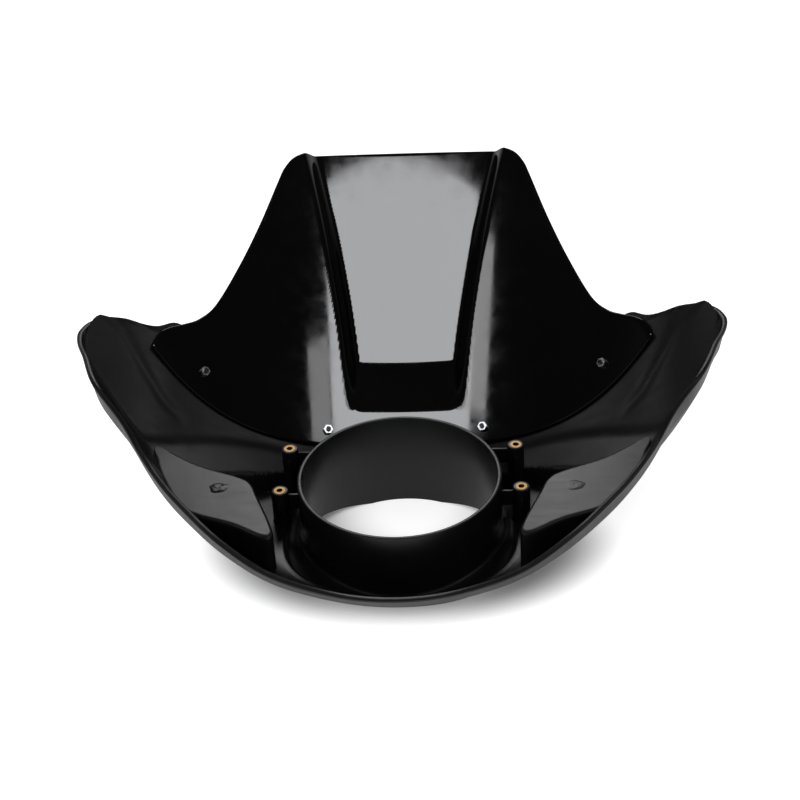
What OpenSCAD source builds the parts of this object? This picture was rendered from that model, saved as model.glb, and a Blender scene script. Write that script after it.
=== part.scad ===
// Motorbike headlight cowl, seen from behind: moulded shell, dark windscreen and its fixings.
// Millimetres. +Z is the headlamp axis pointing to the rear, +Y points up on the bike, X is across.
// The nose stands on a small flat at Z = 0, and the headlamp axis is X = 0, Y = 0.

/* [Headlamp collar] */
// bore of the collar that holds the headlamp ring
collar_bore = 156; // [120:1:190]
// wall of the collar
collar_wall = 3.6; // [2:0.1:6]
// height of the collar rim over the front of the nose
rim_height = 84; // [65:1:120]

/* [Nose] */
// half width of the pocket round the collar
pocket_half = 92; // [86:1:110]
// squareness of the pocket outline, 2 is a circle
pocket_square = 3.5; // [2:0.1:6]
// lean of the front face, in degrees
nose_lean = 9.5; // [0:0.1:15]
// crown radius of the front face across the bike
nose_crown = 219; // [150:1:500]
// Y from which the top of the front face is flat
nose_flat_y = 60; // [50:1:70]
// step from the front face to the bowl at the sides
nose_step = 10; // [6:0.5:20]

/* [Shell] */
// wall of the moulded shell
shell_wall = 3; // [2:0.1:5]
// width of the returned lip
lip_width = 5.5; // [3:0.1:10]
// height of the lip over the inside face
lip_rise = 3; // [2:0.5:12]
// steepness of the side bowls
bowl_power = 3.2; // [1:0.1:5]
// steepness of the chin
chin_power = 1.1; // [1:0.1:3]
// height of the panel beside the nose pocket
panel_height = 40; // [34:0.5:48]
// rise of that panel for each millimetre outward
panel_slope = 0.4; // [0:0.05:0.8]
// half width where the wings leave the curve of the windscreen
wing_turn = 190; // [180:1:200]
// slope of the wings at their tips
wing_flat = 0.2; // [0:0.05:0.5]
// Y of the panel's free edge beside the pocket
panel_edge = 59; // [50:1:66]

/* [Windscreen] */
// thickness of the windscreen
screen_wall = 3; // [2:0.1:5]
// rake of the windscreen from the front plane, in degrees
screen_rake = 36.87; // [30:0.01:45]
// radius of the windscreen across the bike
screen_radius = 280; // [240:1:400]
// Y of the windscreen datum at the inner screws
screen_y = 117; // [112:0.5:122]
// Z of the windscreen datum at the inner screws
screen_z = 42; // [38:0.5:46]
// length of the windscreen above the datum
screen_top = 261; // [200:1:300]
// length of the windscreen below the datum
screen_tail = 14; // [8:0.5:20]
// half width of the top edge
screen_top_half = 80; // [50:1:110]
// half width over the lower lobes
screen_lobe_half = 208; // [200:1:212]
// depth of the raised centre
bulge_depth = 14; // [0:0.5:20]
// half width of the raised centre at its foot
bulge_foot = 38; // [25:1:48]
// half width of the raised centre at the top edge
bulge_head = 80; // [50:1:80]
// width of the flanks of the raised centre
bulge_flank = 18; // [8:1:24]
// gap between the windscreen and the shell
seat_gap = 0.5; // [0.2:0.1:1.5]

/* [Windscreen screws] */
// thread size of the screws
screw_d = 4; // [3:0.5:5]
// head diameter of the screws
screw_head_d = 8; // [6:0.5:10]
// head height of the screws
screw_head_h = 2.4; // [1.5:0.1:4]
// width across the flats of the nuts
nut_flats = 7; // [5.5:0.5:10]
// thickness of the nuts
nut_height = 3.2; // [2:0.1:5]
// gap under the nuts
nut_seat = 0.15; // [0.05:0.05:0.3]
// screw end that stands out of the nut
screw_stand = 1.8; // [0.5:0.1:5]
// clearance of the screw holes on the diameter
screw_clear = 0.4; // [0.2:0.1:1]
// half spacing of the inner screws
inner_half = 67; // [60:0.5:72]
// distance of the outer screws in from the lobes
outer_inset = 39; // [34:0.5:48]
// distance of the outer screws up the windscreen
outer_up = 40; // [36:0.5:44]

/* [Bracket inserts] */
// outside diameter of the inserts
insert_d = 9; // [7:0.1:12]
// thread bore of the inserts
insert_bore = 5; // [3:0.1:6.5]
// length of the inserts
insert_length = 14; // [8:0.5:20]
// knurl groove depth on the inserts
insert_groove = 0.4; // [0.2:0.1:0.8]
// outside diameter of the bosses
boss_d = 14; // [12:0.5:20]
// height of the boss tops
boss_top = 70; // [64:0.5:80]
// half spacing of the upper inserts
upper_half = 93.5; // [90:0.5:100]
// Y of the upper inserts
upper_y = 58; // [54:0.5:64]
// half spacing of the lower inserts
lower_half = 97; // [94:0.5:104]
// Y of the lower inserts
lower_y = 1; // [-10:0.5:10]
// thickness of the boss ribs
rib_wall = 2.2; // [1.5:0.1:4]
// length of the rib that stands below each boss
rib_reach = 12; // [10:0.5:20]

/* [Hidden] */
collar_r = collar_bore / 2;
collar_out = collar_r + collar_wall;
outer_half = screen_lobe_half - outer_inset;
// height up to which the collar is part of the shell's skin
collar_foot = 37;
sr = sin(screen_rake);
cr = cos(screen_rake);
// edge of the shell round the collar axis: angle from the top, radius, height
edge = [
  [0, 128, 49], [28, 143, 57], [42, 172, 79], [52, 235, 138], [58, 246, 151], [61.2, 268, 155],
    [63.2, 287, 156],
  [67, 290, 156], [70, 283, 156], [75, 265, 158], [83.9, 242, 156], [88.8, 222, 140], [94, 207.5, 123],
  [103, 192, 114], [114.4, 178.5, 106], [127, 169.5, 98], [141, 156, 83], [159, 136.5, 68], [180, 131.5, 65]
];
// side edge of the windscreen from the lobe to the top: half width, distance up
side = [
  [screen_lobe_half, 55], [203.5, 67], [196, 74], [185, 79.5], [173, 87], [160, 103], [142, 143],
    [126, 185],
  [112, 227], [106, 243], [97, 254], [screen_top_half, screen_top]
];

function sq(x) = x * x;
function clamp(x) = min(1, max(0, x));
function ease(x) = let (c = clamp(x)) c * c * (3 - 2 * c);
function mix(a, b, k) = a + (b - a) * k;
function smax(a, b, k) = max(a, b) + sq(max(0, k - abs(a - b))) / (4 * k);
function span(k, x, i = 0) = (i >= len(k) - 2 || x < k[i + 1][0]) ? i : span(k, x, i + 1);
function slope(k, i, c) = (i == 0 || i == len(k) - 1) ? 0 : (k[i + 1][c] - k[i - 1][c])
  / (k[i + 1][0] - k[i - 1][0]);
function curve(k, x, c) = let (i = span(k, x), h = k[i + 1][0] - k[i][0], s = clamp((x - k[i][0]) / h))
  (2 * s * s * s - 3 * s * s + 1) * k[i][c] + (s * s * s - 2 * s * s + s) * h * slope(k, i, c)
  + (3 * s * s - 2 * s * s * s) * k[i + 1][c] + (s * s * s - s * s) * h * slope(k, i + 1, c);
function bend(p, q, r, t, s) = 0.5 * ((2 * q) + (r - p) * s + (2 * p - 5 * q + 4 * r - t) * s * s
  + (3 * q - p - 3 * r + t) * s * s * s);

// front face of the nose
function front_z(x, y) = max(0, tan(nose_lean) * (nose_flat_y - y) + x * x / (2 * nose_crown));
// outer face of the windscreen, carried on as the upper face of the shell
function wing_g(u) = let (s = wing_turn / (screen_radius * cr), v = u - wing_turn) u < wing_turn ?
  u * u / (2 * screen_radius * cr)
  : wing_turn * s / 2 + s * v - (s - wing_flat) * sq(min(v, 70)) / 140;
function seat_z(x, y) = screen_z + tan(screen_rake) * (y - screen_y) + wing_g(abs(x));
function pocket_r(f) = pocket_half / pow(pow(abs(sin(f)), pocket_square)
  + pow(abs(cos(f)), pocket_square), 1 / pocket_square);
function edge_r(f) = curve(edge, f, 1);
function edge_z(f) = curve(edge, f, 2);
function bowl_z(x, y) = let (f = atan2(abs(x), y), r = norm([x, y]), a = pocket_r(f), b = edge_r(f),
    t = clamp((r - a) / (b - a)), p = mix(bowl_power, chin_power, ease((f - 100) / 60)),
    z = front_z(a * sin(f), a * cos(f)) + nose_step)
  z + (edge_z(f) - lip_rise - z) * pow(t, p);
function panel_z(x) = let (u = abs(x) - pocket_half) panel_height + (u > 0 ? panel_slope * u : u);
function panel_k(x, y) = let (e = panel_edge - 0.54 * (abs(x) - pocket_half)) ease((y - e + 6) / 12);
function upper_z(x, y) = smax(seat_z(x, y) - seat_gap / cr, panel_z(x) - 40 * (1 - panel_k(x, y)), 6);
// inside face of the shell
function inside_z(x, y) = smax(bowl_z(x, y), upper_z(x, y), 5);
function polar(f, r) = [r * sin(f), r * cos(f)];
// the lip dies out where the windscreen lies on the shell
function lip_point(f, r, z, under = 0) = let (p = polar(f, r))
  [r, mix(inside_z(p[0], p[1]) - under, z, ease((f - 59) / 5))];

ring_count = 92;
// rings stand closer where the panel ends, at about 65 degrees
function bunch(s) = s - 14 * sin(2 * (s - 65)) / 2 - 14 * sin(130) / 2;
half = [for (i = [1:ring_count / 2 - 1]) let (s = i / (ring_count / 2), k = bunch(180 * s), e = bunch(0),
  g = bunch(180)) (k - e) / (g - e) * 180];
angles = concat([-180], [for (i = [len(half) - 1:-1:0]) -half[i]], [0], half);
rows = 12;
function tilt(f, r) = let (a = polar(f, r - 1), b = polar(f, r + 1))
  (inside_z(b[0], b[1]) - inside_z(a[0], a[1])) / 2;
function inner_row(f) = let (g = abs(f), a = pocket_r(g), b = edge_r(g), h = polar(g, collar_out + 6),
    w = polar(g, a), fz = front_z(h[0], h[1]) + shell_wall, wz = front_z(w[0], w[1]) + shell_wall,
    q = polar(g, a + 6), qz = inside_z(q[0], q[1]), zl = edge_z(g))
  concat(
    [[collar_r - 1, collar_foot], [collar_out - 1, collar_foot], [collar_out + 0.8, collar_foot - 1.5],
      [collar_out + 0.8, fz + 2],
     [collar_out + 1.6, fz + 0.6], [collar_out + 3.5, fz],
     [a - 4, wz], [a - 1.2, wz + 1.2], [a, mix(wz, qz, 0.4)], [a + 0.5, mix(wz, qz, 0.75)],
       [a + 2.4, mix(wz, qz, 0.95)]],
    [for (j = [0:rows]) let (r = mix(a + 6, b - lip_width - 2, j / rows), p = polar(g, r))
      [r, inside_z(p[0], p[1])]],
    [lip_point(g, b - lip_width, zl - 1), lip_point(g, b - lip_width + 1.2, zl), lip_point(g, b - 1.2, zl)]
  );
function outer_row(f) = let (g = abs(f), a = pocket_r(g), b = edge_r(g), w = polar(g, a), wz =
  front_z(w[0], w[1]),
    q = polar(g, a + 6), qz = inside_z(q[0], q[1]) - shell_wall, zl = edge_z(g), h = polar(g, collar_r))
  concat(
    [lip_point(g, b, zl - 1.2, 1), lip_point(g, b - 1.2, zl - 4.5, 3)],
    [for (j = [rows:-1:1]) let (r = mix(a + 6, b - lip_width - 2, j / rows), p = polar(g, r), k =
      min(1.6, max(-1.6, tilt(g, r))))
      [r + shell_wall * k / sqrt(1 + k * k), inside_z(p[0], p[1]) - shell_wall / sqrt(1 + k * k)]],
    [[a + shell_wall + 3, mix(wz, qz, 0.98)], [a + shell_wall + 0.6, mix(wz, qz, 0.75)],
      [a + shell_wall, mix(wz, qz, 0.45)],
     [a + shell_wall - 1.2, wz + 1.2], [a - 1, wz], [collar_r - 1, front_z(h[0], h[1])]]
  );
function ring(f) = concat(inner_row(f), outer_row(f));
function tube_faces(n, m) = [for (i = [0:n - 1], j = [0:m - 1]) let (k = (i + 1) % n, l = (j + 1) % m)
  each [[i * m + j, i * m + l, k * m + j], [k * m + j, i * m + l, k * m + l]]];

module shell_skin() {
  grid = [for (f = angles) [for (p = ring(f)) [p[0] * sin(f), p[0] * cos(f), p[1]]]];
  m = len(grid[0]);
  polyhedron(points = [for (r = grid) each r], faces = tube_faces(len(grid), m), convexity = 10);
}

module sided() {
  children();
  mirror([1, 0, 0]) children();
}

function slope_x(x) = x / screen_radius;
function bulge_half(v) = mix(bulge_foot, bulge_head, pow(clamp(v / screen_top), 1.6));
function bulge(x, v) = bulge_depth * ease((v - 18) / 60)
  * ease((bulge_half(v) + bulge_flank - abs(x)) / bulge_flank);
function sheet(x, v, t = 0) = let (d = x * x / (2 * screen_radius) - bulge(x, v), k = slope_x(x), n =
  1 / sqrt(1 + k * k),
    o = d + t * n)
  [x - t * k * n, screen_y + cr * v - sr * o, screen_z + sr * v + cr * o];
function side_index(b) = b * (len(side) - 1);
function side_at(b, c) = let (q = side_index(b), i = min(len(side) - 2, floor(q)), s = q - i,
    p = side[max(0, i - 1)], e = side[i], g = side[i + 1], h = side[min(len(side) - 1, i + 2)])
  bend(p[c], e[c], g[c], h[c], s);
function centre_v(b) = mix(-screen_tail, screen_top, pow(b, 1.05));
// columns follow the raised centre: a third of them over it, a sixth over its flank
function column(a, b) = let (e = abs(a), h = bulge_half(centre_v(b)), w = side_at(b, 0), f =
  min(bulge_flank, (w - h) * 0.7))
  sign(a) * (e < 1 / 3 ? h * e * 3 : e < 1 / 2 ? h + f * (e - 1 / 3) * 6 : mix(h + f, w, (e - 1 / 2) * 2));
function screen_point(a, b) = let (x = column(a, b), w = side_at(b, 0), vs = side_at(b, 1), vc =
  centre_v(b))
  [x, mix(vc, vs, pow(abs(x) / w, mix(4, 2, ease(b * 3))))];

module screen_sheet() {
  nu = 36;
  nv = 25;
  q = [for (j = [0:nv], i = [0:nu]) screen_point(i / nu * 2 - 1, j / nv)];
  w = nu + 1;
  c = w * (nv + 1);
  polyhedron(
    points = concat([for (p = q) sheet(p[0], p[1], screen_wall)], [for (p = q) sheet(p[0], p[1], 0)]),
    faces = concat(
      [for (j = [0:nv - 1], i = [0:nu - 1]) let (a = j * w + i)
        each [[a, a + w, a + 1], [a + 1, a + w, a + w + 1]]],
      [for (j = [0:nv - 1], i = [0:nu - 1]) let (a = c + j * w + i)
        each [[a, a + 1, a + w], [a + 1, a + w + 1, a + w]]],
      [for (i = [0:nu - 1]) each [[i, i + 1, c + i], [i + 1, c + i + 1, c + i]]],
      [for (i = [0:nu - 1]) let (a = nv * w + i) each [[a, c + a, a + 1], [a + 1, c + a, c + a + 1]]],
      [for (j = [0:nv - 1]) let (a = j * w) each [[a, c + a, a + w], [a + w, c + a, c + a + w]]],
      [for (j = [0:nv - 1]) let (a = j * w + nu) each [[a, a + w, c + a], [a + w, c + a + w, c + a]]]
    ),
    convexity = 8
  );
}

// places its children on the windscreen's outer face with Z along the inward normal
module on_sheet(x, v) {
  translate(sheet(x, v, 0)) rotate([screen_rake, 0, 0]) rotate([0, -atan(slope_x(x)), 0]) children();
}

module at_screws() {
  for (s = [-1, 1]) {
    on_sheet(s * inner_half, 0) children();
    on_sheet(s * outer_half, outer_up) children();
  }
}

module at_inserts() {
  for (s = [-1, 1]) {
    translate([s * upper_half, upper_y, 0]) children();
    translate([s * lower_half, lower_y, 0]) children();
  }
}

module boss(x, y) {
  z = inside_z(x, y) - shell_wall / 2;
  translate([x, y, z]) cylinder(h = boss_top - z, d = boss_d, $fn = 64);
  translate([x - rib_wall / 2, y - rib_reach, z + 2]) cube([rib_wall, rib_reach, boss_top - z - 8]);
  reach = sqrt(sq(collar_out) - y * y) - 1;
  translate([reach, y - rib_wall / 2, 52]) cube([x - reach, rib_wall, boss_top - 56]);
}

module cowl_shell() {
  color([0.03, 0.03, 0.035])
  difference() {
    union() {
      shell_skin();
      translate([0, 0, collar_foot - 4]) cylinder(h = rim_height - collar_foot + 4, r = collar_out, $fn =
        180);
      sided() boss(upper_half, upper_y);
      sided() boss(lower_half, lower_y);
    }
    translate([0, 0, -5]) cylinder(h = rim_height + 10, r = collar_r, $fn = 180);
    at_screws() translate([0, 0, -12]) cylinder(h = 20, d = screw_d + screw_clear, $fn = 48);
    at_inserts() translate([0, 0, boss_top - insert_length])
      cylinder(h = insert_length + 1, d = insert_d, $fn = 64);
  }
}

module windscreen() {
  color([0.02, 0.02, 0.03])
  difference() {
    screen_sheet();
    at_screws() translate([0, 0, -6]) cylinder(h = 16, d = screw_d + screw_clear, $fn = 48);
  }
}

screw_under = -(shell_wall + seat_gap + 0.3);

module screen_screws() {
  color([0.05, 0.05, 0.05])
  at_screws() {
    translate([0, 0, screw_under - screw_head_h]) cylinder(h = screw_head_h, d = screw_head_d, $fn = 64);
    translate([0, 0, screw_under - 0.01]) cylinder(h =
      screen_wall + nut_height + screw_stand - screw_under, d = screw_d, $fn = 48);
  }
}

module screen_nuts() {
  color([0.7, 0.7, 0.68])
  at_screws() translate([0, 0, screen_wall + nut_seat])
    difference() {
      cylinder(h = nut_height, d = nut_flats / cos(30), $fn = 6);
      translate([0, 0, -1]) cylinder(h = nut_height + 2, d = screw_d, $fn = 48);
    }
}

module bracket_inserts() {
  color([0.71, 0.55, 0.3])
  at_inserts() translate([0, 0, boss_top - insert_length])
    rotate_extrude($fn = 64)
      polygon([[insert_bore / 2, 0], [insert_d / 2, 0], [insert_d / 2, 4],
        [insert_d / 2 - insert_groove, 4.6],
        [insert_d / 2 - insert_groove, 6], [insert_d / 2, 6.6], [insert_d / 2, insert_length],
          [insert_bore / 2, insert_length]]);
}

cowl_shell();
windscreen();
screen_screws();
screen_nuts();
bracket_inserts();
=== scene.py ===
import bpy
import math
import numpy as np
from mathutils import Vector, Matrix


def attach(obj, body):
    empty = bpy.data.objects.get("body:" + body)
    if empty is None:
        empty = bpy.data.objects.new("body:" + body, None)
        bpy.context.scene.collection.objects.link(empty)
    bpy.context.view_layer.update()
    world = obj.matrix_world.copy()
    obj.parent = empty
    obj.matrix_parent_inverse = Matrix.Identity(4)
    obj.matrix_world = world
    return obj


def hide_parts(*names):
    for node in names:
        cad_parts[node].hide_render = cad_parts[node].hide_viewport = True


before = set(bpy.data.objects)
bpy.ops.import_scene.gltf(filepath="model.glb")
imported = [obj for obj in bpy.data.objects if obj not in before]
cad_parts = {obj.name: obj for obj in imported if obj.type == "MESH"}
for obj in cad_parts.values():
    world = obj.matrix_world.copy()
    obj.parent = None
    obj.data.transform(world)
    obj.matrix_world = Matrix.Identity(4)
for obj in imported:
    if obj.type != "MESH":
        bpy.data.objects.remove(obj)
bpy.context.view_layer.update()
MM = 0.001

# Sizes as in the CAD, in mm. Polar angles run from +Y round the headlamp axis, in degrees.
# the collar, and the squared pocket round it
COLLAR_R, COLLAR_WALL, RIM = 78.0, 3.6, 84.0
COLLAR_OUT = COLLAR_R + COLLAR_WALL
POCKET, POCKET_N = 92.0, 3.5
# the nose face: its lean, where it turns flat, its crown, and the step up to the bowls
LEAN, FLAT_Y, NOSE_CROWN, STEP = math.tan(math.radians(9.5)), 60.0, 219.0, 10.0
# the wall, and the lip's width and its rise over the bowls
WALL, LIP_W, LIP_RISE = 3.0, 5.5, 3.0
# how steeply the bowls rise to the edge, beside the pocket and at the chin
BOWL_SIDE, BOWL_CHIN = 2.9, 1.1
# the flat panel beside the pocket: height, slope, and the line where it ends
PANEL_H, PANEL_S, PANEL_E = 40.0, 0.4, 59.0
PANEL_SKEW, PANEL_FADE, PANEL_DROP = 0.54, 12.0, 40.0
# radii of the blends between panel, wing and bowl
BLEND_WING, BLEND_BOWL = 6.0, 5.0
# the windscreen: wall, rake, radius, the middle of its foot, height, crown and tail
SCREEN_W, RAKE, SCREEN_R = 3.0, math.radians(36.87), 280.0
SR, CR = math.sin(RAKE), math.cos(RAKE)
SCREEN_Y, SCREEN_Z, TOP, CROWN, TAIL = 117.0, 42.0, 264.0, 6.0, 14.0
# its raised centre: height, half width at foot and head, flank, start and rise
BULGE, FOOT, HEAD, FLANK = 14.0, 38.0, 80.0, 12.0
BULGE_START, BULGE_RISE, BULGE_POWER = 13.0, 58.0, 1.6
# the wings leave the windscreen's cylinder at TURN and end at the tip's slope
TURN, TIP_SLOPE, TIP_TURN, GAP = 190.0, 0.2, 70.0, 0.5
# bosses, the bores of their inserts, and their ribs
BOSS_TOP, BOSS_D, INSERT_R, RIB_HALF = 70.0, 14.0, 4.5, 1.1
INSERTS = ((93.5, 58.0), (97.0, 1.0))
# the shell's edge: polar angle, radius and height
EDGE = np.array([
    (0, 128, 49), (28, 143, 57), (42, 172, 79), (52, 235, 138), (58, 246, 151), (61.2, 268, 155),
    (63.2, 287, 156), (67, 290, 156), (70, 283, 156), (75, 265, 158), (83.9, 240.5, 156),
    (88.8, 219, 140), (94, 204.5, 123), (103, 190, 114), (114.4, 176, 106), (127, 166.5, 98),
    (141, 154, 83), (159, 135.5, 68), (180, 131, 65)], float)
# where the lip leaves the wing's own surface, and the angle it takes for that
LIP_FROM, LIP_FADE = 59.0, 5.0
# the windscreen's side, from foot to head: half width and height up the sheet
SIDE = np.array([
    (208, 55), (203.5, 67), (196, 74), (185, 79.5), (173, 87), (160, 103), (142, 143), (126, 185),
    (112, 227), (106, 243), (97, 255), (80, TOP)], float)

# Sizes that only the scene has, in mm.
# the flat side pads: height, wall, brow, outline from the sharp corner on, and their middle
PAD_H, PAD_WALL, PAD_BROW, PAD_BACK_BROW = 86.0, 3.0, 3.2, 1.5
PAD = np.array([
    (200, 43), (163, 17), (128, 0), (117, -10), (110, -28), (98, -60), (95, -75), (104, -78),
    (128, -63), (158, -50), (172, -38), (188, -8), (198, 19)], float)
PAD_MID = (150.0, -15.0)
# the brow narrows this close to the sharp corner, to this share
PAD_CORNER, PAD_CORNER_SHARE = 18.0, 0.25
# the hole for a pad in the skin: inset from its outline, and how near the skin's vertices move
HOLE_INSET, HOLE_REACH, HOLE_CUT = 1.5, 2.0, 1.7
# the uneven mark of the gate on each pad: place, height, and rings of radius, height and unevenness
GATES = ((-142.5, -15.5), (138.5, -20.0))
GATE_H = (0.7, 0.3)
GATE_RINGS = ((7.0, -0.02, 0.0), (6.4, 0.12, 0.02), (5.6, 0.45, 0.08), (4.6, 0.9, 0.15),
              (3.4, 0.7, 0.2), (2.0, 1.0, 0.15), (0.8, 0.8, 0.1))
# a shallow groove across each wing: its line, depth, half width, and where it fades out
CREASE = np.array([(262, 131), (250, 131), (233, 121), (214, 99), (199, 84), (183, 78)], float)
CREASE_DEPTH, CREASE_HALF, CREASE_X, CREASE_FADE = 1.7, 3.4, 176.0, 20.0

# Points of a section of the skin.
# the foot of the collar: past its outside, over the pocket's floor
FOOT_POINTS = ((0.3, 12), (0.3, 3), (0.7, 1.6), (1.7, 0.5), (3.5, 0))
# the floor's rise into the pocket's wall: past the pocket's radius, over the floor
FLOOR_POINTS = ((-4, 0), (-2, 0.4), (-0.8, 1.4))
# the pocket's wall: past its radius, and the share of its height
WALL_POINTS = ((-0.2, 0.3), (0.1, 0.55), (0.6, 0.78), (1.6, 0.92), (3.4, 0.985))
# the lip's inner side: past its inner edge, over its top
LIP_INNER = ((-0.5, -2.4), (0.1, -1.2), (0.7, -0.35), (1.6, 0))
# the lip's outer side: past the shell's edge, over the lip's top, and under a wing's surface
LIP_OUTER = ((-1.6, 0, 0), (-0.7, -0.3, 0), (-0.15, -0.9, 0.5), (0, -1.6, 1.2),
             (-0.4, -2.8, 2.2), (-2.0, -4.4, 3))
# the same wall and rise on the outer face, back inward
BACK_WALL_POINTS = ((3, 0.99), (1.4, 0.9), (0.5, 0.75), (0.1, 0.5))
BACK_FLOOR_POINTS = ((-0.3, 3.0), (-1.2, 1.0), (-3.2, 0.1))
POCKET_COUNT = 2 + len(FOOT_POINTS) + len(FLOOR_POINTS) + len(WALL_POINTS)
LIP_COUNT = len(LIP_INNER) + len(LIP_OUTER)
MAX_SLOPE = 1.6


def ease(x):
    c = np.clip(x, 0, 1)
    return c * c * (3 - 2 * c)


def mix(a, b, k):
    return a + (b - a) * k


def smax(a, b, k):
    """maximum with a blend of about k"""
    return np.maximum(a, b) + np.maximum(0, k - np.abs(a - b)) ** 2 / (4 * k)


def curve(k, x, c):
    """column c of a table at x, through its rows, with no slope at its ends"""
    x = np.asarray(x, float)
    m = np.zeros(len(k))
    m[1:-1] = (k[2:, c] - k[:-2, c]) / (k[2:, 0] - k[:-2, 0])
    i = np.clip(np.searchsorted(k[:, 0], x, side="right") - 1, 0, len(k) - 2)
    h = k[i + 1, 0] - k[i, 0]
    s = np.clip((x - k[i, 0]) / h, 0, 1)
    return ((2 * s ** 3 - 3 * s ** 2 + 1) * k[i, c] + (s ** 3 - 2 * s ** 2 + s) * h * m[i]
            + (3 * s ** 2 - 2 * s ** 3) * k[i + 1, c] + (s ** 3 - s ** 2) * h * m[i + 1])


def catmull(p, n, closed=True):
    """a smooth line through the points, n steps from each to the next"""
    out = []
    count = len(p)
    for i in range(count if closed else count - 1):
        q = [p[(i + d) % count] if closed else p[min(count - 1, max(0, i + d))]
             for d in (-1, 0, 1, 2)]
        for j in range(n):
            s = j / n
            out.append(0.5 * (2 * q[1] + (q[2] - q[0]) * s
                              + (2 * q[0] - 5 * q[1] + 4 * q[2] - q[3]) * s * s
                              + (3 * q[1] - q[0] - 3 * q[2] + q[3]) * s ** 3))
    if not closed:
        out.append(p[-1])
    return np.array(out)


def to_segment(ax, y, a, b):
    """distance from points to the line between a and b"""
    d = b - a
    s = np.clip(((ax - a[0]) * d[0] + (y - a[1]) * d[1]) / (d @ d), 0, 1)
    return np.hypot(ax - a[0] - s * d[0], y - a[1] - s * d[1])


def polar(f, r):
    return r * np.sin(np.radians(f)), r * np.cos(np.radians(f))


# the shell's surfaces, as heights over the front plane

def front_z(x, y):
    return np.maximum(0, LEAN * (FLAT_Y - y) + x * x / (2 * NOSE_CROWN))


def wing_rise(u):
    """the windscreen's cylinder at distance u from the middle, flatter past TURN"""
    s = TURN / (SCREEN_R * CR)
    v = u - TURN
    past = TURN * s / 2 + s * v - (s - TIP_SLOPE) * np.minimum(v, TIP_TURN) ** 2 / (2 * TIP_TURN)
    return np.where(u < TURN, u * u / (2 * SCREEN_R * CR), past)


def seat_z(x, y):
    return SCREEN_Z + SR / CR * (y - SCREEN_Y) + wing_rise(np.abs(x))


def pocket_r(f):
    s, c = np.abs(np.sin(np.radians(f))), np.abs(np.cos(np.radians(f)))
    return POCKET / (s ** POCKET_N + c ** POCKET_N) ** (1 / POCKET_N)


def bowl_z(x, y):
    """from the pocket's wall up to the edge"""
    f = np.degrees(np.arctan2(np.abs(x), y))
    r = np.hypot(x, y)
    a, b = pocket_r(f), curve(EDGE, f, 1)
    t = np.clip((r - a) / (b - a), 0, 1)
    p = mix(BOWL_SIDE, BOWL_CHIN, ease((f - 95) / 60))
    z = front_z(a * np.sin(np.radians(f)), a * np.cos(np.radians(f))) + STEP
    return z + (curve(EDGE, f, 2) - LIP_RISE - z) * t ** p


def panel_z(x, y):
    u = np.abs(x) - POCKET
    k = ease((y - (PANEL_E - PANEL_SKEW * u) + PANEL_FADE / 2) / PANEL_FADE)
    return PANEL_H + np.where(u > 0, PANEL_S * u, u) - PANEL_DROP * (1 - k)


def inside_z(x, y):
    """the inner face of the shell outside the pocket"""
    wing = smax(seat_z(x, y) - GAP / CR, panel_z(x, y), BLEND_WING)
    return smax(bowl_z(x, y), wing, BLEND_BOWL)


def crease(x, y):
    ax = np.abs(x)
    best = np.full(np.shape(ax), 1e9)
    for a, b in zip(CREASE[:-1], CREASE[1:]):
        best = np.minimum(best, to_segment(ax, y, a, b))
    return (-CREASE_DEPTH * np.exp(-(best / CREASE_HALF) ** 2)
            * ease((ax - CREASE_X) / CREASE_FADE))


# mesh helpers

def obj_from(name, verts, faces, smooth=35):
    """a mesh object from points in mm, with edges sharper than that angle kept sharp"""
    me = bpy.data.meshes.new(name)
    me.from_pydata([tuple(v) for v in (np.asarray(verts) * MM)], [],
                   [tuple(int(i) for i in f) for f in faces])
    me.validate()
    me.update()
    ob = bpy.data.objects.new(name, me)
    bpy.context.scene.collection.objects.link(ob)
    me.polygons.foreach_set("use_smooth", [True] * len(me.polygons))
    if smooth:
        me.set_sharp_from_angle(angle=math.radians(smooth))
    return ob


class Build:
    """collects the vertices and faces of one mesh"""

    def __init__(self):
        self.v, self.f, self.n = [], [], 0

    def add(self, v, f):
        v = np.asarray(v, float)
        self.v.append(v)
        self.f += [tuple(i + self.n for i in q) for q in f]
        self.n += len(v)

    def loft(self, rings, ends=(False, False)):
        """faces between closed rings, with a cap on the ends that are asked for"""
        m = len(rings[0])
        f = []
        for i in range(len(rings) - 1):
            for j in range(m):
                k = (j + 1) % m
                f.append((i * m + j, i * m + k, (i + 1) * m + k, (i + 1) * m + j))
        if ends[0]:
            f.append(tuple(range(m - 1, -1, -1)))
        if ends[1]:
            f.append(tuple((len(rings) - 1) * m + j for j in range(m)))
        self.add(np.concatenate(rings), f)

    def done(self, name, smooth):
        return obj_from(name, np.concatenate(self.v), self.f, smooth)


# the moulded shell

def pad_line(n):
    """points of a pad's outline, and at each the direction into the pad"""
    k = catmull(PAD, n)
    t = np.roll(k, -1, 0) - np.roll(k, 1, 0)
    t /= np.linalg.norm(t, axis=1)[:, None]
    return k, np.stack([-t[:, 1], t[:, 0]], 1)


def pad_distance(x, y):
    """distance to a pad's outline, positive inside it"""
    k, _ = pad_line(6)
    best = np.full(x.shape, 1e9)
    inside = np.zeros(x.shape, bool)
    ax = np.abs(x)
    for i in range(len(k)):
        a, b = k[i], k[(i + 1) % len(k)]
        best = np.minimum(best, to_segment(ax, y, a, b))
        crossing = (b[0] - a[0]) * (y - a[1]) / (b[1] - a[1] + 1e-12) + a[0]
        inside ^= ((a[1] > y) != (b[1] > y)) & (ax < crossing)
    return np.where(inside, best, -best)


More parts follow.
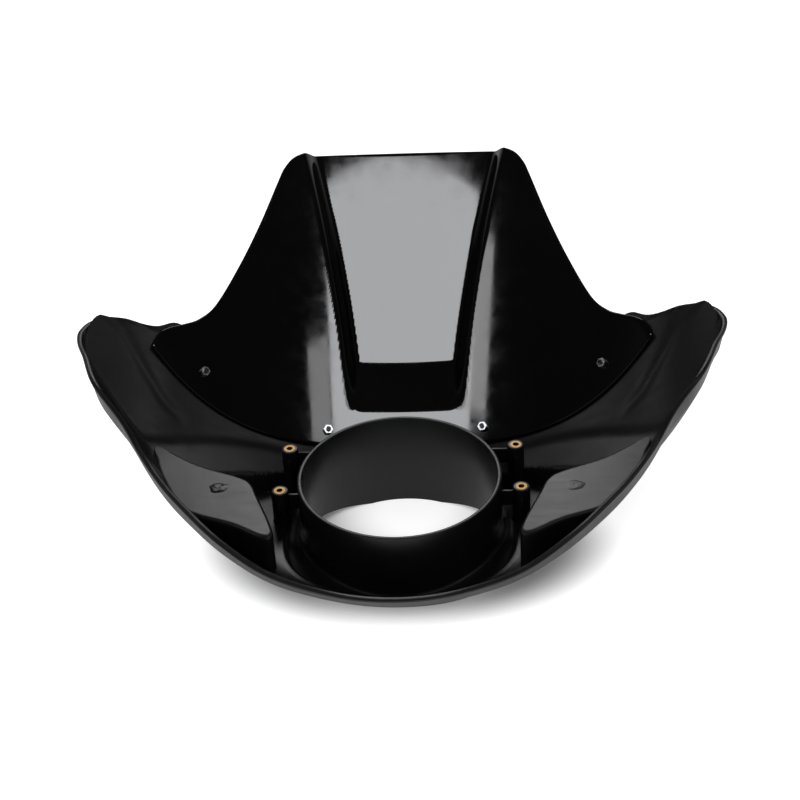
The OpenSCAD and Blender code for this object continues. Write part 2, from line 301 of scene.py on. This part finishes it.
def section(f, rows):
    """one closed section of the skin at polar angle f, as radius and height:
    inner face outward, round the lip, outer face back"""
    g = abs(f)
    a, b = float(pocket_r(g)), float(curve(EDGE, g, 1))
    lip_z = float(curve(EDGE, g, 2))
    foot_z = float(front_z(*polar(g, COLLAR_OUT + 6))) + WALL
    floor_z = float(front_z(*polar(g, a))) + WALL
    top_z = float(inside_z(*polar(g, a + 6)))
    # the pocket's floor and wall
    mid = (mix(COLLAR_OUT + FOOT_POINTS[-1][0], a - 4, 0.5), mix(foot_z, floor_z, 0.5))
    p = [(COLLAR_R + 1, foot_z + 12)]
    p += [(COLLAR_OUT + r, foot_z + z) for r, z in FOOT_POINTS] + [mid]
    p += [(a + r, floor_z + z) for r, z in FLOOR_POINTS]
    p += [(a + r, mix(floor_z, top_z, k)) for r, k in WALL_POINTS]
    # the inner face
    r_in = mix(a + 6, b - LIP_W - 1.6, np.linspace(0, 1, rows))
    z_in = inside_z(*polar(g, r_in))
    p += list(zip(r_in, z_in + crease(*polar(g, r_in))))
    # the lip, which lies in the surface where the wing begins
    share = float(ease((g - LIP_FROM) / LIP_FADE))

    def lip(r, z, under=0.0):
        return r, mix(float(inside_z(*polar(g, r))) - under, z, share)

    p += [lip(b - LIP_W + r, lip_z + z) for r, z in LIP_INNER]
    p += [lip(b + r, lip_z + z, under) for r, z, under in LIP_OUTER]
    # the outer face, a wall's thickness along the slope
    rise = inside_z(*polar(g, r_in + 1)) - inside_z(*polar(g, r_in - 1))
    s = np.clip(rise / 2, -MAX_SLOPE, MAX_SLOPE)
    q = np.sqrt(1 + s * s)
    p += list(zip(r_in + WALL * s / q, z_in - WALL / q))[::-1][:-1]
    back = a + WALL
    p += [(back + r, mix(floor_z, top_z - WALL, k)) for r, k in BACK_WALL_POINTS]
    p += [(back + r, floor_z - WALL + z) for r, z in BACK_FLOOR_POINTS]
    nose_z = float(front_z(*polar(g, COLLAR_R)))
    p += [(a - 2, floor_z - WALL), (COLLAR_R + 1.2, nose_z), (COLLAR_R + 0.3, nose_z + 0.5),
          (COLLAR_R + 0.3, foot_z + 6)]
    return p


def add_skin(B, turns=400, rows=56):
    """sections round the axis, with a hole where each pad stands"""
    # sections stand closer where the panel ends and at the wing tips
    s = np.linspace(0, 180, turns // 2 + 1)
    w = s - 8 * np.sin(np.radians(2 * (s - 65)))
    w = (w - w[0]) / (w[-1] - w[0]) * 180
    sections = []
    for f in np.concatenate([-w[:0:-1], w[:-1]]):
        p = np.array(section(f, rows))
        x, y = polar(f, p[:, 0])
        sections.append(np.stack([x, y, p[:, 1]], 1))
    V = np.array(sections)
    # vertices next to a pad's outline move onto the hole's edge
    X, Y = V[:, :, 0].copy(), V[:, :, 1].copy()
    d = pad_distance(X, Y)
    e = 0.5
    gx = (pad_distance(X + e, Y) - pad_distance(X - e, Y)) / (2 * e)
    gy = (pad_distance(X, Y + e) - pad_distance(X, Y - e)) / (2 * e)
    length = np.maximum(np.hypot(gx, gy), 0.3)
    move = np.where(np.abs(d - HOLE_INSET) < HOLE_REACH, HOLE_INSET - d, 0)
    V[:, :, 0] += move * gx / length
    V[:, :, 1] += move * gy / length
    # and slide along the skin as they do, on the inner and on the outer face
    last = POCKET_COUNT + rows
    for part in (slice(POCKET_COUNT, last), slice(last + LIP_COUNT, last + LIP_COUNT + rows - 1)):
        V[:, part, 2] += (inside_z(V[:, part, 0], V[:, part, 1])
                          - inside_z(X[:, part], Y[:, part]))
    # faces inside a hole are left out
    d = pad_distance(V[:, :, 0], V[:, :, 1])
    n, m = V.shape[:2]
    faces = []
    for i in range(n):
        k = (i + 1) % n
        for j in range(m):
            l = (j + 1) % m
            if (d[i, j] + d[i, l] + d[k, j] + d[k, l]) / 4 <= HOLE_CUT:
                faces.append((i * m + j, i * m + l, k * m + l, k * m + j))
    B.add(V.reshape(-1, 3), faces)


def add_pads(B):
    """walls with a rounded brow and a flat top, and a wall's thickness behind them"""
    k, into = pad_line(12)
    # the brow narrows into the sharp outer corner
    far = np.hypot(k[:, 0] - PAD[0][0], k[:, 1] - PAD[0][1])
    into = into * np.clip(far / PAD_CORNER, PAD_CORNER_SHARE, 1)[:, None]
    low = np.minimum(inside_z(k[:, 0], k[:, 1]) - 2.2, PAD_H - PAD_BROW - 1)
    brow_z = PAD_H - PAD_BROW
    back_z = PAD_H - PAD_WALL - PAD_BACK_BROW
    for side in (1, -1):
        def ring(inset, z):
            p = k + into * inset
            return np.stack([p[:, 0] * side, p[:, 1], np.broadcast_to(z, (len(p),))], 1)

        front = [ring(0.0, mix(low, brow_z, q)) for q in (0, 0.06, 0.2, 0.5, 0.8, 0.94)]
        for t in np.radians([0, 15, 30, 45, 60, 75, 90]):
            front.append(ring(PAD_BROW * (1 - math.cos(t)), brow_z + PAD_BROW * math.sin(t)))
        brow = front[-1]
        front.append(ring(PAD_BROW + 1.0, PAD_H))
        middle = np.array([PAD_MID[0] * side, PAD_MID[1], PAD_H])
        front += [mix(brow, middle[None], q) for q in (0.25, 0.5, 0.75, 0.96)]
        back = [ring(PAD_WALL, low + 1.0)]
        for t in np.radians([0, 30, 60, 90]):
            back.append(ring(PAD_WALL + PAD_BACK_BROW * (1 - math.cos(t)),
                             back_z + PAD_BACK_BROW * math.sin(t)))
        # the rings run the other way round on the other side
        B.loft([r[::side] for r in front], ends=(False, True))
        B.loft([r[::-side] for r in back], ends=(False, True))


def add_gate_marks(B):
    a = np.linspace(0, 2 * math.pi, 40, endpoint=False)
    for (cx, cy), h in zip(GATES, GATE_H):
        rings = []
        for r, z, u in GATE_RINGS:
            w = r * (1 + 0.07 * np.sin(3 * a + 1) + 0.05 * np.sin(5 * a))
            rings.append(np.stack([
                cx + 1.15 * w * np.cos(a), cy + 0.95 * w * np.sin(a),
                PAD_H + h * (z + u * np.sin(2 * a + r) + u * np.sin(5 * a + 2 * r))], 1))
        B.loft(rings, ends=(False, True))


def add_collar(B, turns=192):
    """the collar, turned about its axis, with a rounded rim; its ends follow the nose face"""
    a = np.linspace(0, 2 * math.pi, turns, endpoint=False)

    def ring(r, z):
        return np.stack([r * np.sin(a), r * np.cos(a), np.broadcast_to(z, (turns,))], 1)

    def nose(r):
        return front_z(r * np.sin(a), r * np.cos(a))

    rings = [ring(COLLAR_R, nose(COLLAR_R) + 0.2)]
    rings += [ring(r, z) for r, z in (
        (COLLAR_R, 20), (COLLAR_R, 50), (COLLAR_R, RIM - 1.0), (COLLAR_R + 0.3, RIM - 0.3),
        (COLLAR_R + 1.0, RIM), (COLLAR_OUT - 1.0, RIM), (COLLAR_OUT - 0.3, RIM - 0.3),
        (COLLAR_OUT, RIM - 1.0), (COLLAR_OUT, 60))]
    rings.append(ring(COLLAR_OUT, nose(COLLAR_OUT + 3) + WALL))
    B.loft(rings)


def add_rib(B, x0, x1, y0, y1, z0, z1, r=0.5):
    """a thin plate with softened top edges"""
    x0, x1 = min(x0, x1), max(x0, x1)

    def loop(i, z):
        return np.array([(x0 + i, y0 + i, z), (x1 - i, y0 + i, z),
                         (x1 - i, y1 - i, z), (x0 + i, y1 - i, z)], float)

    B.loft([loop(0, z0), loop(0, z1 - r), loop(r * 0.3, z1 - r * 0.3), loop(r, z1)],
           ends=(True, True))


def add_bosses(B, turns=48):
    """bosses with the bores of their inserts, each with a rib to the collar and one below"""
    a = np.linspace(0, 2 * math.pi, turns, endpoint=False)
    half = BOSS_D / 2
    for ix, iy in INSERTS:
        z0 = float(inside_z(ix, iy)) - 1.5
        profile = ((half + 1.2, z0), (half + 0.5, z0 + 2.5), (half, z0 + 5), (half, BOSS_TOP - 1.0),
                   (half - 0.3, BOSS_TOP - 0.3), (half - 1.0, BOSS_TOP), (INSERT_R + 0.05, BOSS_TOP),
                   (INSERT_R, BOSS_TOP - 0.1), (INSERT_R, BOSS_TOP - 5))
        reach = math.sqrt(COLLAR_OUT ** 2 - iy ** 2) - 1
        for side in (1, -1):
            B.loft([np.stack([ix * side + r * np.cos(a), iy + r * np.sin(a),
                              np.full(turns, z)], 1) for r, z in profile])
            add_rib(B, side * reach, side * (ix - 5), iy - RIB_HALF, iy + RIB_HALF,
                    52, BOSS_TOP - 4)
            add_rib(B, side * ix - RIB_HALF, side * ix + RIB_HALF, iy - 12, iy - 5,
                    z0 + 2, BOSS_TOP - 6)


def shell_mesh():
    B = Build()
    add_skin(B)
    add_pads(B)
    add_gate_marks(B)
    add_collar(B)
    add_bosses(B)
    return B.done("cowl_shell_moulding", 40)


# the windscreen, as a sheet: x across, v up the sheet from the middle of its foot

def ramp(x, q=0.15):
    """from 0 to 1, straight but for a rounded start and end of share q"""
    c = np.clip(x, 0, 1)
    k = 2 * q * (1 - q)
    return np.where(c < q, c * c / k,
                    np.where(c > 1 - q, 1 - (1 - c) ** 2 / k, (c - q / 2) / (1 - q)))


def bulge(x, v):
    half = mix(FOOT, HEAD, np.clip(v / TOP, 0, 1) ** BULGE_POWER)
    return (BULGE * ramp((v - BULGE_START) / BULGE_RISE)
            * ease((half + FLANK - np.abs(x)) / FLANK))


def sheet(x, v, t):
    """the point at height t through the sheet"""
    k = x / SCREEN_R
    n = 1 / np.sqrt(1 + k * k)
    o = x * x / (2 * SCREEN_R) - bulge(x, v) + t * n
    return np.stack([x - t * k * n, SCREEN_Y + CR * v - SR * o, SCREEN_Z + SR * v + CR * o], -1)


def border(grid):
    return np.concatenate([grid[0, :-1], grid[:-1, -1], grid[-1, :0:-1], grid[:0:-1, 0]])


def grid_faces(g, flip):
    faces = []
    for j in range(g.shape[0] - 1):
        for i in range(g.shape[1] - 1):
            q = (g[j, i], g[j, i + 1], g[j + 1, i + 1], g[j + 1, i])
            faces.append(q[:1] + q[:0:-1] if flip else q)
    return faces


def screen_mesh(across=150, rows=110):
    side = catmull(SIDE, 40, closed=False)
    b = np.linspace(0, 1, rows + 1)
    q = b * (len(side) - 1)
    i = np.minimum(len(side) - 2, np.floor(q).astype(int))
    edge = side[i] + (side[i + 1] - side[i]) * (q - i)[:, None]
    mid = mix(-TAIL, TOP + CROWN, b ** 1.05)
    a = np.linspace(-1, 1, across + 1)
    # rows bend from the middle line to the side, flat in the middle near the foot
    power = mix(4, 2, ease(b * 3))[:, None]
    x = edge[:, :1] * a[None]
    v = mid[:, None] + (edge[:, 1:] - mid[:, None]) * np.abs(a[None]) ** power
    g = np.arange(x.size).reshape(x.shape)
    count = x.size
    points = [sheet(x, v, SCREEN_W).reshape(-1, 3), sheet(x, v, 0.0).reshape(-1, 3)]
    faces = grid_faces(g, False) + grid_faces(g + count, True)
    # a rounded edge joins both faces: height through the sheet, and inset
    bx, bv = border(x), border(v)
    tx, tv = np.roll(bx, -1) - np.roll(bx, 1), np.roll(bv, -1) - np.roll(bv, 1)
    length = np.maximum(np.hypot(tx, tv), 1e-6)
    edge_rings = ((SCREEN_W - 0.35, -0.5), (SCREEN_W - 0.95, -0.85), (SCREEN_W / 2, -1.0),
                  (0.95, -0.85), (0.35, -0.5))
    for t, inset in edge_rings:
        points.append(sheet(bx - tv / length * inset, bv + tx / length * inset, t))
    rim = border(g)
    m = len(rim)
    chains = [[rim[j]] + [2 * count + r * m + j for r in range(len(edge_rings))]
              + [rim[j] + count] for j in range(m)]
    for j in range(m):
        here, beyond = chains[j], chains[(j + 1) % m]
        for c in range(len(edge_rings) + 1):
            faces.append((here[c], here[c + 1], beyond[c + 1], beyond[c]))
    return obj_from("windscreen_sheet", np.concatenate(points), faces, 50)


# materials

def new_mat(name, rough, spec=0.5, metal=0.0):
    m = bpy.data.materials.new(name)
    m.use_nodes = True
    nt = m.node_tree
    b = nt.nodes["Principled BSDF"]
    b.inputs["Roughness"].default_value = rough
    b.inputs["Specular IOR Level"].default_value = spec
    b.inputs["Metallic"].default_value = metal
    return m, nt, b


def node(nt, kind, **vals):
    """a node with its inputs or settings of those names"""
    n = nt.nodes.new(kind)
    for k, v in vals.items():
        if k in n.inputs:
            n.inputs[k].default_value = v
        else:
            setattr(n, k, v)
    return n


def link(nt, a, out, b, inp):
    nt.links.new(a.outputs[out], b.inputs[inp])


def math_node(nt, operation, a, b):
    """a math node; an operand is a value, or a node and the name of its output"""
    n = node(nt, "ShaderNodeMath", operation=operation)
    for i, source in enumerate((a, b)):
        if isinstance(source, tuple):
            link(nt, source[0], source[1], n, i)
        else:
            n.inputs[i].default_value = source
    return n


def noise(nt, tc, scale, detail, rough, stretch=None):
    n = node(nt, "ShaderNodeTexNoise", Scale=scale, Detail=detail, Roughness=rough)
    if stretch:
        m = node(nt, "ShaderNodeMapping", Scale=stretch)
        link(nt, tc, "Object", m, "Vector")
        link(nt, m, "Vector", n, "Vector")
    else:
        link(nt, tc, "Object", n, "Vector")
    return n


def remap(nt, src, out, given, wanted, smooth=False):
    """map one range of values to another"""
    r = node(nt, "ShaderNodeMapRange")
    for k, v in zip(("From Min", "From Max", "To Min", "To Max"), given + wanted):
        r.inputs[k].default_value = v
    if smooth:
        r.interpolation_type = "SMOOTHSTEP"
    link(nt, src, out, r, "Value")
    return r


def tones(nt, src, out, span, dark, light):
    """a colour between two over that span of values"""
    r = node(nt, "ShaderNodeValToRGB")
    for element, position, colour in zip(r.color_ramp.elements, span, (dark, light)):
        element.position = position
        element.color = (*colour, 1)
    link(nt, src, out, r, "Fac")
    return r


def moulded_plastic():
    """satin black plastic with faint waviness, flow marks, dust and a fine grain"""
    m, nt, b = new_mat("black_plastic", 0.36)
    tc = node(nt, "ShaderNodeTexCoord")
    wave = noise(nt, tc, 26, 2.0, 0.45)
    fine = noise(nt, tc, 900, 3.0, 0.6)
    flow = noise(nt, tc, 40, 5.0, 0.6, (1.0, 5.0, 2.0))
    smear = noise(nt, tc, 9, 5.0, 0.6)
    dust = node(nt, "ShaderNodeTexVoronoi", Scale=420.0)
    link(nt, tc, "Object", dust, "Vector")
    speck = remap(nt, dust, "Distance", (0.02, 0.05), (1, 0))
    along = remap(nt, flow, "Fac", (0.35, 0.75), (0.32, 0.40))
    patches = remap(nt, smear, "Fac", (0.4, 0.7), (-0.03, 0.06))
    rough = math_node(nt, "ADD", (along, "Result"), (patches, "Result"))
    link(nt, rough, "Value", b, "Roughness")
    black = tones(nt, smear, "Fac", (0.35, 0.75), (0.0042, 0.0042, 0.0046), (0.0075, 0.0075, 0.0082))
    dusty = node(nt, "ShaderNodeMix", data_type="RGBA")
    dusty.inputs["B"].default_value = (0.03, 0.03, 0.03, 1)
    share = math_node(nt, "MULTIPLY", (speck, "Result"), 0.25)
    link(nt, share, "Value", dusty, "Factor")
    link(nt, black, "Color", dusty, "A")
    link(nt, dusty, "Result", b, "Base Color")
    wavy = node(nt, "ShaderNodeBump", Strength=0.25, Distance=0.0012)
    grain = node(nt, "ShaderNodeBump", Strength=0.06, Distance=0.00008)
    link(nt, wave, "Fac", wavy, "Height")
    link(nt, fine, "Fac", grain, "Height")
    link(nt, wavy, "Normal", grain, "Normal")
    link(nt, grain, "Normal", b, "Normal")
    return m


def screen_plastic():
    """dark tinted acrylic, smooth, with light wear"""
    m, nt, b = new_mat("tinted_acrylic", 0.07)
    tc = node(nt, "ShaderNodeTexCoord")
    wave = noise(nt, tc, 12, 2.0, 0.4)
    fine = noise(nt, tc, 60, 6.0, 0.65)
    hair = noise(nt, tc, 300, 4.0, 0.7, (1.0, 0.08, 0.08))
    haze = remap(nt, fine, "Fac", (0.4, 0.75), (0.05, 0.11))
    scratches = remap(nt, hair, "Fac", (0.68, 0.75), (0.0, 0.08))
    rough = math_node(nt, "ADD", (haze, "Result"), (scratches, "Result"))
    link(nt, rough, "Value", b, "Roughness")
    tint = tones(nt, wave, "Fac", (0.3, 0.7), (0.0012, 0.0012, 0.0015), (0.0024, 0.0024, 0.0029))
    link(nt, tint, "Color", b, "Base Color")
    wavy = node(nt, "ShaderNodeBump", Strength=0.1, Distance=0.001)
    link(nt, wave, "Fac", wavy, "Height")
    link(nt, wavy, "Normal", b, "Normal")
    return m


def metal(name, dark, light, rough, metallic=1.0, scale=220.0):
    """turned or plated metal with uneven tone and a fine grain"""
    m, nt, b = new_mat(name, rough, metal=metallic)
    tc = node(nt, "ShaderNodeTexCoord")
    coarse = noise(nt, tc, scale, 5.0, 0.6)
    fine = noise(nt, tc, scale * 6, 3.0, 0.6)
    tone = tones(nt, coarse, "Fac", (0.35, 0.7), dark, light)
    link(nt, tone, "Color", b, "Base Color")
    worn = remap(nt, coarse, "Fac", (0.3, 0.75), (rough - 0.08, rough + 0.14))
    link(nt, worn, "Result", b, "Roughness")
    grain = node(nt, "ShaderNodeBump", Strength=0.2, Distance=0.00005)
    link(nt, fine, "Fac", grain, "Height")
    link(nt, grain, "Normal", b, "Normal")
    return m


mat_shell = moulded_plastic()
mat_screen = screen_plastic()
mat_zinc = metal("zinc_plate", (0.42, 0.43, 0.45), (0.62, 0.62, 0.62), 0.32)
mat_black = metal("blackened_steel", (0.012, 0.012, 0.013), (0.03, 0.03, 0.03), 0.42, 0.6)
mat_brass = metal("brass", (0.26, 0.15, 0.05), (0.42, 0.26, 0.11), 0.38)

shell = shell_mesh()
shell.data.materials.append(mat_shell)
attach(shell, "root")
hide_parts("cowl_shell")
screen = screen_mesh()
screen.data.materials.append(mat_screen)
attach(screen, "root")
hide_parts("windscreen")

HARDWARE = {"screen_nuts": mat_zinc, "screen_screws": mat_black, "bracket_inserts": mat_brass}
for name, mat in HARDWARE.items():
    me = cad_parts[name].data
    for i in range(len(me.materials)):
        me.materials[i] = mat
    if not me.materials:
        me.materials.append(mat)

# the camera, fitted to the photograph's outline: where it stands as seen from the collar's rim,
# its focal length and the rim's centre in pixels
EL, AZ, ROLL, DIST = math.radians(36.7), math.radians(3.9), math.radians(-3.4), 1500.0
FOCAL, RIM_PX, RIM_PY = 1883.0, 399.2, 474.9
PICTURE, SENSOR = 800, 36


def add_camera():
    ahead = Vector((-math.sin(AZ) * math.cos(EL), math.cos(AZ) * math.cos(EL), -math.sin(EL)))
    level = Vector((math.cos(AZ), math.sin(AZ), 0))
    above = level.cross(ahead)
    pos = Vector((0, 0, RIM)) - ahead * DIST
    right = level * math.cos(ROLL) + above * math.sin(ROLL)
    up = -level * math.sin(ROLL) + above * math.cos(ROLL)
    # turn it so that the rim's centre falls on its pixel
    v = Vector((RIM_PX - PICTURE / 2, PICTURE / 2 - RIM_PY, FOCAL)).normalized()
    view = (ahead - right * v[0] - up * v[1]).normalized()
    right = (right - view * right.dot(view)).normalized()
    up = right.cross(view)
    data = bpy.data.cameras.new("camera")
    data.sensor_width = SENSOR
    data.lens = SENSOR * FOCAL / PICTURE
    data.clip_start, data.clip_end = 0.05, 30
    cam = bpy.data.objects.new("camera", data)
    rows = [(right[i], up[i], -view[i], pos[i] * MM) for i in range(3)]
    cam.matrix_world = Matrix((*rows, (0, 0, 0, 1)))
    bpy.context.scene.collection.objects.link(cam)
    bpy.context.scene.camera = cam


add_camera()

# the floor's painted light, seen by the camera alone, in metres: it starts at the border of an oval,
# painted shadow of these half axes, whose middle lies at this y, and a painted pool of light lies
# below the collar
SHADOW_X, SHADOW_Y, SHADOW_MID = 0.170, 0.095, 0.010
SHADOW_SPAN, PAINTED_FLOOR_LIGHT = (0.72, 1.12), 0.7
PAINTED_POOL_MIDDLE, PAINTED_POOL_SPAN, PAINTED_POOL_LIGHT = (0.005, 0.062, 0), (0.02, 0.085), 0.45
FLOOR_HALF = 6000.0


def white_floor():
    """a matt white sweep, plain white to the camera away from the shadow by painted light: light
    rising outside an oval round the object draws the shadow's edge, and a painted pool of light lies
    below the collar
    """
    m, nt, b = new_mat("studio_floor", 0.9, spec=0.0)
    b.inputs["Base Color"].default_value = (0.8, 0.8, 0.8, 1)
    b.inputs["Emission Color"].default_value = (1, 1, 1, 1)
    tc = node(nt, "ShaderNodeTexCoord")
    oval = node(nt, "ShaderNodeMapping", Location=(0, -SHADOW_MID / SHADOW_Y, 0),
                Scale=(1 / SHADOW_X, 1 / SHADOW_Y, 0))
    link(nt, tc, "Object", oval, "Vector")
    outward = node(nt, "ShaderNodeVectorMath", operation="LENGTH")
    link(nt, oval, "Vector", outward, 0)
    # painted light on the floor, rising outside the oval: it draws the shadow's soft edge, for the
    # camera alone
    painted_light_outside = remap(nt, outward, "Value", SHADOW_SPAN, (0.0, PAINTED_FLOOR_LIGHT), smooth=True)
    # a painted pool of light on the floor below the collar, seen by the camera alone
    below = node(nt, "ShaderNodeVectorMath", operation="DISTANCE")
    below.inputs[1].default_value = PAINTED_POOL_MIDDLE
    link(nt, tc, "Object", below, 0)
    painted_pool = remap(nt, below, "Value", PAINTED_POOL_SPAN, (PAINTED_POOL_LIGHT, 0.0), smooth=True)
    painted_light_sum = math_node(nt, "ADD", (painted_light_outside, "Result"), (painted_pool, "Result"))
    path = node(nt, "ShaderNodeLightPath")
    seen = math_node(nt, "MULTIPLY", (painted_light_sum, "Value"), (path, "Is Camera Ray"))
    link(nt, seen, "Value", b, "Emission Strength")
    return m


CORNERS = ((-FLOOR_HALF, -FLOOR_HALF, 0), (FLOOR_HALF, -FLOOR_HALF, 0),
           (FLOOR_HALF, FLOOR_HALF, 0), (-FLOOR_HALF, FLOOR_HALF, 0))
floor = obj_from("floor", CORNERS, [(0, 1, 2, 3)], 0)
floor.data.materials.append(white_floor())

# the world: white to the camera, this bright as ambient light, and in reflections a sweep that
# darkens from just above the horizon to this height
AMBIENT = 0.6
SWEEP_SPAN, SWEEP_TONES = (0.05, 0.6), (0.45, 0.03)


def studio_world():
    world = bpy.data.worlds.new("studio")
    bpy.context.scene.world = world
    world.use_nodes = True
    nt = world.node_tree
    background = nt.nodes["Background"]
    background.inputs["Color"].default_value = (1, 1, 1, 1)
    path = node(nt, "ShaderNodeLightPath")
    tc = node(nt, "ShaderNodeTexCoord")
    direction = node(nt, "ShaderNodeSeparateXYZ")
    link(nt, tc, "Generated", direction, "Vector")
    sweep = remap(nt, direction, "Z", SWEEP_SPAN, SWEEP_TONES, smooth=True)
    glossy = math_node(nt, "MULTIPLY", (sweep, "Result"), (path, "Is Glossy Ray"))
    soft = math_node(nt, "MULTIPLY_ADD", (path, "Is Diffuse Ray"), AMBIENT)
    link(nt, path, "Is Camera Ray", soft, 2)
    total = math_node(nt, "ADD", (soft, "Value"), (glossy, "Value"))
    link(nt, total, "Value", background, "Strength")


studio_world()
bpy.context.scene.view_settings.view_transform = "Standard"


def softbox(name, centre, target, size, radiance, only, tint=(1, 1, 1)):
    """an area light of that radiance, placed in metres, for the listed pieces alone, or for
    all where the list is empty. It is seen only in reflections, or, where the floor is
    listed, lights only diffuse surfaces"""
    d = bpy.data.lights.new(name, "AREA")
    d.shape = "RECTANGLE"
    d.size, d.size_y = size
    d.energy = radiance * size[0] * size[1] * math.pi
    d.color = tint
    o = bpy.data.objects.new(name, d)
    o.location = Vector(centre)
    o.rotation_euler = (Vector(target) - o.location).to_track_quat("-Z", "Y").to_euler()
    o.visible_diffuse = floor in only
    o.visible_glossy = not o.visible_diffuse
    bpy.context.scene.collection.objects.link(o)
    if only:
        group = bpy.data.collections.new(name + "_receivers")
        for piece in only:
            group.objects.link(piece)
        o.light_linking.receiver_collection = group


# each light's centre, target, width and height, radiance and pieces: the windscreen's highlight
# and its flanks, the shell's pads, its wings, the back of both, and the floor before the chin
MIDDLE = (0, 0, 0.1)
gloss = [screen] + [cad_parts[k] for k in HARDWARE]
softbox("key", (-0.06, -0.24, 1.7), (-0.06, -0.24, 0), (1.18, 0.58), 9.6, gloss, (0.97, 0.98, 1.0))
softbox("key_left", (0.63, -0.36, 1.7), (0.63, -0.36, 0), (0.17, 0.24), 4.2, gloss)
softbox("key_right", (-0.72, -0.2, 1.7), (-0.72, -0.2, 0), (0.15, 0.36), 5.5, gloss)
softbox("over_shell", (0.0, -0.24, 1.7), (0, -0.24, 0), (1.15, 0.58), 0.4, [shell])
softbox("wing_left", (1.1, -0.2, 1.6), MIDDLE, (0.8, 0.6), 0.9, [shell])
softbox("wing_right", (-1.4, -0.15, 1.4), MIDDLE, (0.7, 0.5), 0.9, [shell])
softbox("back", (-0.12, 2.0, 1.6), MIDDLE, (0.85, 0.75), 3.4, [])
softbox("front_fill", (-0.2, -1.45, 1.65), (0, 0, 0), (0.8, 0.8), 14.0, [floor])
